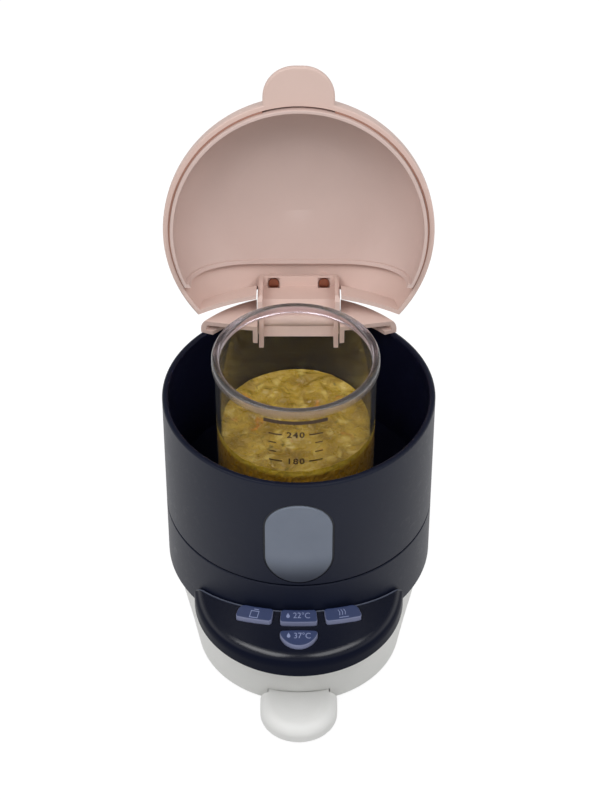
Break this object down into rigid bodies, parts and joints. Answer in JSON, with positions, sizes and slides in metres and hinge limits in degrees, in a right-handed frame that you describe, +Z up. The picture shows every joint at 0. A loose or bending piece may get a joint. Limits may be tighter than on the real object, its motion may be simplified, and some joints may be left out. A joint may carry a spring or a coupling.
{
  "type": "baby bottle and food warmer",
  "caption": "Round baby food warmer: dark chamber with front window, hinged domed lid on a goose-neck arm, lift-out glass jar, crescent button console and pale foot with slide-out drip tray.",
  "frame": {"origin": "on the round body's axis at table level, in the plane of the foot ring's underside", "axes": "+Z up along the body's axis, -Y to the front where the window, console and tray pull are, +X to the right seen from the front"},
  "size_m": [0.13, 0.191, 0.2806],
  "materials": {
    "body_navy": "satin",
    "console_gloss": "gloss",
    "window_frost": "frosted",
    "dark_rubber": "matte",
    "lid_pink": "satin",
    "seal_rose": "matte",
    "base_white": "satin",
    "button_slate": "satin",
    "plate_steel": "brushed",
    "fixing_steel": "plated",
    "board_green": "matte",
    "component_dark": "matte",
    "lead_grey": "matte",
    "jar_glass": "clear",
    "food_puree": "moist"
  },
  "bodies": {
    "housing": {"upper_sleeve": "body_navy", "lower_shell": "body_navy", "console_floor": "body_navy", "console_cover": "console_gloss", "window_lens": "window_frost", "window_gasket": "dark_rubber", "plate_seal": "dark_rubber", "foot_ring": "dark_rubber", "hinge_collar": "lid_pink", "base_shell": "base_white", "base_plate": "base_white", "cord_gland": "base_white", "heating_plate": "plate_steel", "overflow_pipe": "plate_steel", "plate_clamp": "plate_steel", "heater_element": "plate_steel", "sleeve_screws": "fixing_steel", "clamp_screws": "fixing_steel", "body_screws": "fixing_steel", "base_plate_screws": "fixing_steel", "board_screws": "fixing_steel", "hinge_pin": "fixing_steel", "control_board": "board_green", "power_board": "board_green", "thermostat": "component_dark", "thermal_fuse": "component_dark", "temperature_sensor": "component_dark", "touch_switches": "component_dark", "power_components": "component_dark", "heater_leads": "lead_grey", "console_ribbon": "lead_grey"},
    "lid": {"lid_shell": "lid_pink", "lid_liner": "lid_pink", "lid_seal": "seal_rose", "hinge_arm": "lid_pink", "arm_screws": "fixing_steel"},
    "jar": {"jar": "jar_glass", "food": "food_puree"},
    "drip_tray": {"drip_tray": "base_white"},
    "button_left": {"button_left": "button_slate"},
    "button_upper": {"button_upper": "button_slate"},
    "button_right": {"button_right": "button_slate"},
    "button_lower": {"button_lower": "button_slate"}
  },
  "joints": [
    {"name": "lid_hinge", "type": "hinge", "parent": "housing", "child": "lid", "pos_m": [0, 0.047, 0.1563], "axis": [1, 0, 0], "range_deg": [0, 107]},
    {"name": "jar_lift", "type": "slide", "parent": "housing", "child": "jar", "axis": [0, 0, -1], "range_m": [-0.075, 0]},
    {"name": "tray_slide", "type": "slide", "parent": "housing", "child": "drip_tray", "axis": [0, -1, 0], "range_m": [0, 0.075]},
    {"name": "press_left", "type": "slide", "parent": "housing", "child": "button_left", "axis": [0, 0, -1], "range_m": [0, 0.0008], "stiffness_N_per_m": 1500, "springref_m": -0.0003},
    {"name": "press_upper", "type": "slide", "parent": "housing", "child": "button_upper", "axis": [0, 0, -1], "range_m": [0, 0.0008], "stiffness_N_per_m": 1500, "springref_m": -0.0003},
    {"name": "press_right", "type": "slide", "parent": "housing", "child": "button_right", "axis": [0, 0, -1], "range_m": [0, 0.0008], "stiffness_N_per_m": 1500, "springref_m": -0.0003},
    {"name": "press_lower", "type": "slide", "parent": "housing", "child": "button_lower", "axis": [0, 0, -1], "range_m": [0, 0.0008], "stiffness_N_per_m": 1500, "springref_m": -0.0003}
  ]
}
